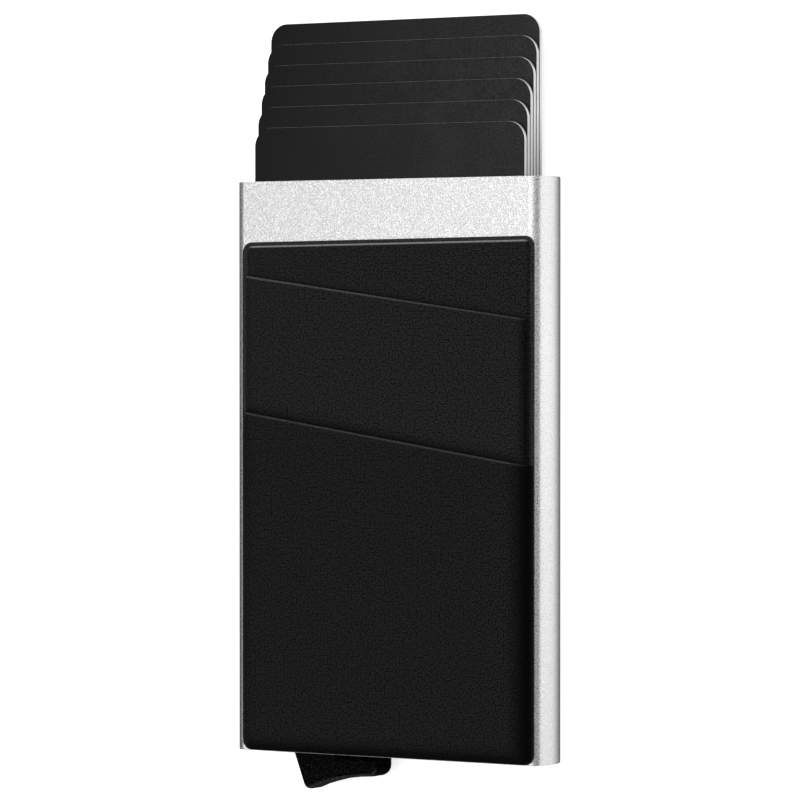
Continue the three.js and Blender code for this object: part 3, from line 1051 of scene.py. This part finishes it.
@dataclass
class EjectorEnd:
    """The base cap, the finger lever and its pin."""

    edge_round: float = 0.12 * MM
    edge_steps: int = 2
    edge_angle: float = 40.0
    fin_top: float = SLEEVE_LOW.y - 0.3 * MM
    fin_round: float = 0.42 * MM
    fin_steps: int = 5
    push_facing: float = 0.5
    # Which faces of the fin's lower rim get the painted highlight.
    highlight_lean: float = 0.2
    highlight_turn: float = 0.45
    crisp: float = 32.0

    def on_fin(self, edge: bmesh.types.BMEdge) -> bool:
        """Whether an edge runs along the side of the fin that a finger pushes.

        Args:
            edge: an edge of a moulding.

        Returns:
            True along both rims of that side.
        """
        if not edge.is_manifold or max(vert.co.y for vert in edge.verts) > self.fin_top:
            return False
        flat = max(abs(face.normal.z) for face in edge.link_faces) > FACING
        return flat and min(face.normal.y for face in edge.link_faces) < -self.push_facing

    def highlight_rim(self, face: bmesh.types.BMFace) -> bool:
        """Whether a face lies on the rounded rim of the fin, where a highlight is painted.

        Args:
            face: a face of a moulding.

        Returns:
            True on the rim, short of the fin's ends.
        """
        below = face.calc_center_median().y < self.fin_top and abs(face.normal.x) < self.highlight_turn
        leaning = self.highlight_lean < abs(face.normal.z) < FACING
        return below and leaning and face.normal.y < -self.highlight_lean

    def build(self) -> list[bpy.types.Object]:
        """Soften the edges of the two mouldings and finish the pin.

        The cap lies above the top of the fin, so the fin's rounding and its painted highlight pass it by.

        Returns:
            The mouldings and the pin.
        """
        made = []
        for name, node in (("end_cap", "base_cap"), ("finger_lever", "trigger_lever")):
            bench = Bench(name, frame["nodes"][node])
            bench.pick(Part.EDGES, self.on_fin)
            bench.bevel(self.fin_round, self.fin_steps)
            bench.round_rims(self.edge_round, self.edge_steps, self.edge_angle)
            # The fin's lower rim gets the lighter moulding: a painted highlight.
            bench.number_faces(SECOND_FINISH, self.highlight_rim)
            made.append(settle(bench.done(self.crisp, PLASTIC, HIGHLIT_PLASTIC), "black_plastic", node))
        return [*made, dress_node("pivot_pin", STEEL)]


@dataclass
class CardHolders:
    """The soft pieces that hold the cards: a foam strip at each side and a felt pad behind."""

    crown_radius: float = 8.6 * MM
    crown_steps: int = 4
    foam_round: float = 0.45 * MM
    foam_angle: float = 50.0
    felt_corner: float = 1.5 * MM
    felt_steps: int = 8
    felt_round: float = 0.22 * MM
    round_steps: int = 4
    crisp: float = 40.0

    def strip(self, side: int) -> bpy.types.Object:
        """Model a foam strip, flat towards the cards and crowned towards the sleeve.

        Args:
            side: 1 on the right, -1 on the left.

        Returns:
            The strip.
        """
        word = "right" if side > 0 else "left"
        low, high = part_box(f"{word}_brake_strip")
        half = (high.z - low.z) / 2
        outer = max(abs(low.x), abs(high.x))
        inner = min(abs(low.x), abs(high.x))
        crown_x = outer - self.crown_radius
        spread = math.asin(half / self.crown_radius)
        facets = 2 * self.crown_steps + 1
        sections = []
        for step in range(self.crown_steps + 1):
            angle = spread * (facets - 2 * step) / facets
            reach = Vector((math.cos(angle), math.sin(angle))) * self.crown_radius
            sections.append(Vector((crown_x, 0)) + reach)
        near, far = sorted((side * inner, side * sections[0].x))
        bench = Bench(f"{word}_foam_strip")
        bench.cube(Vector((near, low.y, low.z)), Vector((far, high.y, high.z)))
        bench.pick(Part.FACES, lambda face: face.normal.x * side > FACING)
        bench.swell(side, (low + high) / 2, sections[0], sections[1:])
        bench.round_rims(self.foam_round, self.round_steps, self.foam_angle)
        strip = settle(bench.done(self.crisp, FOAM), "brake_foam", f"{word}_brake_strip")
        return strip

    def pad(self) -> bpy.types.Object:
        """Model the felt pad.

        Returns:
            The pad.
        """
        bench = Bench("felt_pad")
        bench.plate(*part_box("rear_felt_pad"), self.felt_corner, self.felt_steps)
        bench.round_rims(self.felt_round, self.round_steps)
        pad = settle(bench.done(self.crisp, FELT), "grey_felt", "rear_felt_pad")
        return pad

    def build(self) -> list[bpy.types.Object]:
        """Model the three pieces."""
        return [self.strip(-1), self.strip(1), self.pad()]


def quarter(way: float) -> float:
    """Height of a quarter round of radius 1 at a distance in from its foot."""
    return math.sqrt(max(0.0, 1 - (1 - min(1.0, way)) ** 2))


@dataclass(frozen=True)
class Line:
    """A line of a panel's grid: at a distance in from a side, or at a share of the core for side 0."""

    side: int
    at: float


@dataclass
class PocketPanel:
    """A leather pocket panel: its sides and bottom roll down, and its slanted top is open."""

    name: str
    node: str
    leather: GrainLeather
    fall: float
    corner: float
    side_roll: float
    bottom_roll: float
    hollow: float
    turned: float = 0.5 * MM
    inner: float = 0.5
    top_corner: float = 0.3 * MM
    lip: float = 0.36 * MM
    bow: float = 0.1 * MM
    bow_reach: float = 9 * MM
    dip: float = 0.0
    dip_reach: float = 1.6 * MM
    dip_line: Slant = Slant()
    roll_steps: int = 9
    lip_steps: int = 5
    columns: int = 40
    rows: int = 60
    crisp: float = 50.0

    def __post_init__(self) -> None:
        """Take the panel's place from its CAD node."""
        self.low, self.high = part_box(self.node)

    def roll_lines(self, side: int, roll: float) -> list[Line]:
        """Lines across a rolled edge, from the outline inwards.

        Args:
            side: the edge's side.
            roll: how far in it rolls.

        Returns:
            The lines.
        """
        angles = [math.pi / 2 * step / self.roll_steps for step in range(self.roll_steps + 1)]
        return [Line(side, roll * (1 - math.cos(angle))) for angle in angles]

    def top_at(self, x: float) -> float:
        """Height of the slanted opening.

        Args:
            x: distance along X.

        Returns:
            Y of the opening there.
        """
        low, high = self.low, self.high
        slope = self.fall / (high.x - low.x)
        inside = self.top_corner - min(x - low.x, high.x - x)
        drop = 0.0
        if inside > 0:
            drop = self.top_corner - math.sqrt(max(0.0, self.top_corner**2 - inside**2))
        return high.y - slope * (x - low.x) - drop

    def spot(self, column: Line, row: Line, outside: bool) -> Vector:
        """A point of the panel.

        Args:
            column: the line that runs up the panel.
            row: the line that runs across it.
            outside: True on the outer surface, False on the inner one.

        Returns:
            The point.
        """
        low, high = self.low, self.high
        inset, shrink = (0.0, 1.0) if outside else (self.turned, self.inner)
        corner = self.corner * shrink
        side = (column.at if column.side else self.side_roll) * shrink
        down = (row.at if row.side < 0 else self.bottom_roll) * shrink
        share = quarter(side / (self.side_roll * shrink)) * quarter(down / (self.bottom_roll * shrink))
        near_side = max(0.0, 1 - side / corner)
        near_foot = max(0.0, 1 - down / corner)
        half = (high.x - low.x) / 2 - inset
        if column.side:
            round_in = corner * near_side * (1 - math.sqrt(1 - near_foot**2 / 2))
            x = column.side * (half - side - round_in)
        else:
            x = (half - side) * (2 * column.at - 1)
        x += (low.x + high.x) / 2
        top = self.top_at(x)
        foot = low.y + inset + down
        angle = math.pi / 2 * row.at if row.side > 0 else 0.0
        if row.side < 0:
            y = foot + corner * near_foot * (1 - math.sqrt(1 - near_side**2 / 2))
        elif row.side > 0:
            y = top - self.lip * (1 - math.sin(angle))
        else:
            y = foot + (top - self.lip - foot) * row.at
        middle = (x - (low.x + high.x) / 2) / ((high.x - low.x) / 2)
        lift = self.bow * (1 - middle**2) * math.exp(-(top - y) / self.bow_reach)
        if not outside:
            return Vector((x, y, low.z + (self.hollow + lift) * share))
        z = low.z + (high.z - low.z + lift) * share
        z -= self.lip * (1 - math.cos(angle)) * share
        if self.dip > 0:
            above = y - self.dip_line.start - self.dip_line.slope * x
            z -= self.dip * share * (math.exp(-((above / self.dip_reach) ** 2)) if above > 0 else 1.0)
        return Vector((x, y, z))

    def build(self) -> bpy.types.Object:
        """Lay out the outer and inner surfaces as grids and join them round the edge.

        Returns:
            The panel.
        """
        sides = self.roll_lines(1, self.side_roll)
        core = [Line(0, step / self.columns) for step in range(self.columns + 1)]
        across = [Line(-1, line.at) for line in sides] + core + sides[::-1]
        up = self.roll_lines(-1, self.bottom_roll)
        up += [Line(0, step / self.rows) for step in range(self.rows + 1)]
        up += [Line(1, (step + 1) / self.lip_steps) for step in range(self.lip_steps)]
        last_column = len(across) - 1
        last_row = len(up) - 1
        grid_half = 0.5
        bench = Bench(self.name)
        for outside in (True, False):
            bpy.ops.mesh.primitive_grid_add(
                x_subdivisions=last_column, y_subdivisions=last_row, size=2 * grid_half
            )
            cage = bmesh.from_edit_mesh(bench.piece.data)
            for vert in (vert for vert in cage.verts if vert.select):
                column = across[round((vert.co.x + grid_half) * last_column)]
                row = up[round((vert.co.y + grid_half) * last_row)]
                vert.co = self.spot(column, row, outside)
            bmesh.update_edit_mesh(bench.piece.data)
            bpy.ops.mesh.select_all(action="DESELECT")
        bench.pick(Part.EDGES, lambda edge: edge.is_boundary)
        bpy.ops.mesh.bridge_edge_loops()
        bpy.ops.mesh.select_all(action="SELECT")
        bpy.ops.mesh.remove_doubles(threshold=MERGE_DISTANCE)
        bench.outward()
        return settle(bench.done(self.crisp, self.leather), "black_leather", self.node)

    def flat(self) -> Triple:
        """The panel's measures before its edges are rolled.

        Returns:
            Its width, length and area.
        """
        low, high = self.low, self.high
        height = high.z - low.z
        side = math.pi / 2 * math.sqrt((self.side_roll**2 + height**2) / 2) - self.side_roll
        foot = math.pi / 2 * math.sqrt((self.bottom_roll**2 + height**2) / 2) - self.bottom_roll
        width = high.x - low.x + 2 * side
        length = high.y - low.y + foot
        return width, length, width * (length - self.fall / 2)


@dataclass
class Pocket:
    """The stick-on leather pocket: base, back, middle and front layers."""

    corner: float = 1.8 * MM
    corner_steps: int = 10
    top_tilt: float = 0.52 * MM
    base_round: float = 0.3 * MM
    back_round: float = 0.5 * MM
    back_rim: float = 0.75 * MM
    back_lift: float = 0.1 * MM
    round_steps: int = 5
    crisp: float = 50.0
    middle_fall: float = 7.62 * MM
    front_fall: float = 8.61 * MM

    def layer(
        self, name: str, node: str, leather: GrainLeather, corner: float, rounding: float, lift: float
    ) -> bpy.types.Object:
        """Model a flat layer with a slightly slanted top and a rounded front edge.

        Args:
            name: the piece's name.
            node: the CAD node that it stands for.
            leather: its finish.
            corner: the radius of its corners in plan.
            rounding: the rounding of its front edge.
            lift: how far its top is pulled up.

        Returns:
            The layer.
        """
        low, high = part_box(node)
        bench = Bench(name)
        bench.plate(low, high, corner, self.corner_steps)
        cage = bmesh.from_edit_mesh(bench.piece.data)
        for vert in (vert for vert in cage.verts if vert.co.y > 0):
            vert.co.y += lift - self.top_tilt * (high.x - vert.co.x) / (high.x - low.x)
        bmesh.update_edit_mesh(bench.piece.data)
        bench.pick(Part.EDGES, lambda edge: self.on_rim(edge, high.z))
        bench.bevel(rounding, self.round_steps)
        return settle(bench.done(self.crisp, leather), "black_leather", node)

    @staticmethod
    def on_rim(edge: bmesh.types.BMEdge, height: float) -> bool:
        """Whether an edge runs round the front of a layer."""
        return all(abs(vert.co.z - height) < MERGE_DISTANCE for vert in edge.verts)

    def panels(self) -> list[PocketPanel]:
        """The middle and front panels.

        Returns:
            The two panels.
        """
        low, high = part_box("pocket_front_panel")
        slope = -self.front_fall / (high.x - low.x)
        middle = PocketPanel(
            "leather_middle_panel", "pocket_middle_panel", MIDDLE_LEATHER,
            self.middle_fall, self.corner - self.back_rim,
            side_roll=1.65 * MM, bottom_roll=1.65 * MM, hollow=0.2 * MM,
            dip=0.14 * MM, dip_line=Slant(high.y - slope * low.x, slope), rows=84,
        )
        front = PocketPanel(
            "leather_front_panel", "pocket_front_panel", FRONT_LEATHER, self.front_fall, self.corner,
            side_roll=3.0 * MM, bottom_roll=3.4 * MM, hollow=1.7 * MM,
        )
        return [middle, front]

    def build(self) -> list[bpy.types.Object]:
        """Model the four layers and finish the glue between them.

        Returns:
            The layers and the glue.
        """
        base = self.layer("leather_base", "pocket_base", BASE_LEATHER, self.corner, self.base_round, 0.0)
        back = self.layer(
            "leather_back_panel", "pocket_back_panel", BACK_LEATHER,
            self.corner - self.back_rim, self.back_round, self.back_lift,
        )
        made = [base, back]
        for panel in self.panels():
            piece = panel.build()
            width, length, area = panel.flat()
            made.append(piece)
        glue = [dress_node(node, GLUE) for node in ("adhesive_sheet", "middle_seam", "front_seam")]
        return [*made, *glue]


@dataclass(frozen=True)
class Softbox:
    """A soft studio lamp that faces the case."""

    name: str
    place: Triple
    size: Span
    energy: float

    def build(self) -> None:
        """Add the lamp."""
        lamp = bpy.data.lights.new(self.name, "AREA")
        lamp.shape = "RECTANGLE"
        lamp.size, lamp.size_y = self.size
        lamp.energy = self.energy
        holder = bpy.data.objects.new(self.name, lamp)
        holder.location = self.place
        holder.rotation_euler = (-Vector(self.place)).to_track_quat("-Z", "Y").to_euler()
        bpy.context.scene.collection.objects.link(holder)


@dataclass
class Studio:
    """A pale floor, a graded grey surround and soft lamps.

    The clear spans say where the case's shade on the floor gives way to white, as metal mirrors it.
    The turns say between which directions the surround changes.
    """

    floor_size: float = 6.0
    floor_drop: float = 0.2 * MM
    floor_colour: float = 0.88
    floor_seen: float = 0.75
    floor_mirrored: float = 1.2
    floor_shaded: float = 0.04
    clear_right: Span = (29.5 * MM, 33.5 * MM)
    clear_left: Span = (-40 * MM, -52 * MM)
    clear_top: Span = (52 * MM, 60 * MM)
    clear_bottom: Span = (-52 * MM, -60 * MM)
    left_share: float = 0.1
    bottom_share: float = 0.15
    fade_span: Span = (-70 * MM, 20 * MM)
    fade_least: float = 0.8
    surround_low: float = 0.36
    surround_high: float = 0.42
    surround_right: float = 0.56
    surround_left: float = 0.35
    foot_turn: Span = (-0.8, 0.3)
    right_turn: Span = (0.35, 0.6)
    left_turn: Span = (-0.6, -0.85)
    lamps: tuple[Softbox, ...] = (
        Softbox("overhead_softbox", (-0.09, 0.05, 0.7), (0.92, 0.8), 2.4),
        Softbox("left_back_softbox", (-0.5, 0.7, 0.4), (0.7, 0.5), 1.2),
        Softbox("right_back_softbox", (0.55, 0.75, 0.45), (1.1, 0.9), 3.3),
    )

    @staticmethod
    def rays(graph: Graph, kind: str) -> Shade:
        """One of the light path's tests."""
        return graph.node("ShaderNodeLightPath", output=kind)

    def mirrored(self, graph: Graph) -> Shade:
        """The floor as metal mirrors it: painted white, with painted shade of the case close to its
        sides, dim to the left and beyond the foot, and dimmer towards the foot on the right.

        Args:
            graph: the floor's shader.

        Returns:
            The strength.
        """
        place = graph.place()
        across = graph.axis(place, "X")
        along = graph.axis(place, "Y")
        fade = graph.stretch(along, *self.fade_span) * (1 - self.fade_least) + self.fade_least
        right = graph.stretch(across, *self.clear_right) * fade
        left = graph.stretch(across, *self.clear_left) * self.left_share
        top = graph.stretch(along, *self.clear_top)
        bottom = graph.stretch(along, *self.clear_bottom) * self.bottom_share
        clear = graph.most(graph.most(right, left), graph.most(top, bottom))
        return self.floor_shaded + clear * (self.floor_mirrored - self.floor_shaded)

    def floor(self) -> None:
        """Lay the floor, which is lit by the lamps and glows a little to the camera."""
        bpy.ops.object.select_all(action="DESELECT")
        bpy.ops.mesh.primitive_plane_add(size=self.floor_size, location=(0, 0, -self.floor_drop))
        floor = bpy.context.object
        floor.name = "studio_floor"
        paint = bpy.data.materials.new("pale_floor")
        paint.use_nodes = True
        graph = Graph(paint.node_tree)
        matt = graph.node("ShaderNodeBsdfDiffuse", sockets={"Color": (*grey(self.floor_colour), 1.0)})
        glow = self.rays(graph, "Is Camera Ray") * self.floor_seen
        white = graph.node("ShaderNodeEmission", sockets={"Strength": glow})
        plain = graph.node("ShaderNodeAddShader", sockets={0: matt, 1: white})
        reflected = graph.node("ShaderNodeEmission", sockets={"Strength": self.mirrored(graph)})
        glossy = self.rays(graph, "Is Glossy Ray") + self.rays(graph, "Is Transmission Ray")
        both = graph.node("ShaderNodeMixShader", sockets={0: glossy, 1: plain, 2: reflected})
        graph.node("ShaderNodeOutputMaterial", sockets={"Surface": both})
        floor.data.materials.append(paint)

    def surround(self) -> None:
        """Grade the grey surround, darker towards the foot and at both sides, and white to the camera."""
        world = bpy.data.worlds.new("grey_surround")
        world.use_nodes = True
        graph = Graph(world.node_tree)
        direction = graph.node("ShaderNodeTexCoord", output="Generated")
        along = graph.axis(direction, "Y")
        across = graph.axis(direction, "X")
        right = 1 - graph.stretch(across, *self.right_turn) * (1 - self.surround_right)
        left = 1 - graph.stretch(across, *self.left_turn) * (1 - self.surround_left)
        rise = graph.stretch(along, *self.foot_turn) * (self.surround_high - self.surround_low)
        level = (self.surround_low + rise) * right * left
        seen = self.rays(graph, "Is Camera Ray")
        strength = seen + (1 - seen) * level
        back = graph.node("ShaderNodeBackground", sockets={"Color": (1, 1, 1, 1), "Strength": strength})
        graph.node("ShaderNodeOutputWorld", sockets={"Surface": back})
        bpy.context.scene.world = world

    def build(self) -> None:
        """Set up the floor, the surround and the lamps."""
        self.floor()
        self.surround()
        for lamp in self.lamps:
            lamp.build()
        bpy.context.scene.view_settings.view_transform = "Standard"


@dataclass
class PhotoCamera:
    """The camera of the photograph."""

    place: Triple = (0.41365, 0.02187, 0.6621)
    turn: Triple = (-0.0133, 0.5608, 0.0)
    lens: float = 205.65
    sensor: float = 36.0
    nearest: float = 0.01

    def build(self) -> None:
        """Add the camera and make it the scene's."""
        data = bpy.data.cameras.new("photo_camera")
        data.lens = self.lens
        data.sensor_width = self.sensor
        data.clip_start = self.nearest
        camera = bpy.data.objects.new("photo_camera", data)
        camera.location = self.place
        camera.rotation_euler = self.turn
        bpy.context.scene.collection.objects.link(camera)
        bpy.context.scene.camera = camera


def clear_stage() -> None:
    """Remove whatever the scene held before the CAD model."""
    kept = {*frame["nodes"].values(), *frame["bodies"].values()}
    for thing in [thing for thing in bpy.data.objects if thing not in kept]:
        bpy.data.objects.remove(thing)


def main() -> None:
    """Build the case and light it."""
    logging.basicConfig(level=logging.INFO, format="%(message)s")
    clear_stage()
    for assembly in (Sleeve(), CardStack(), EjectorEnd(), CardHolders(), Pocket()):
        for piece in assembly.build():
            log.info("%s: %d faces", piece.name, len(piece.data.polygons))
    Studio().build()
    PhotoCamera().build()


if __name__ == "__main__":
    main()
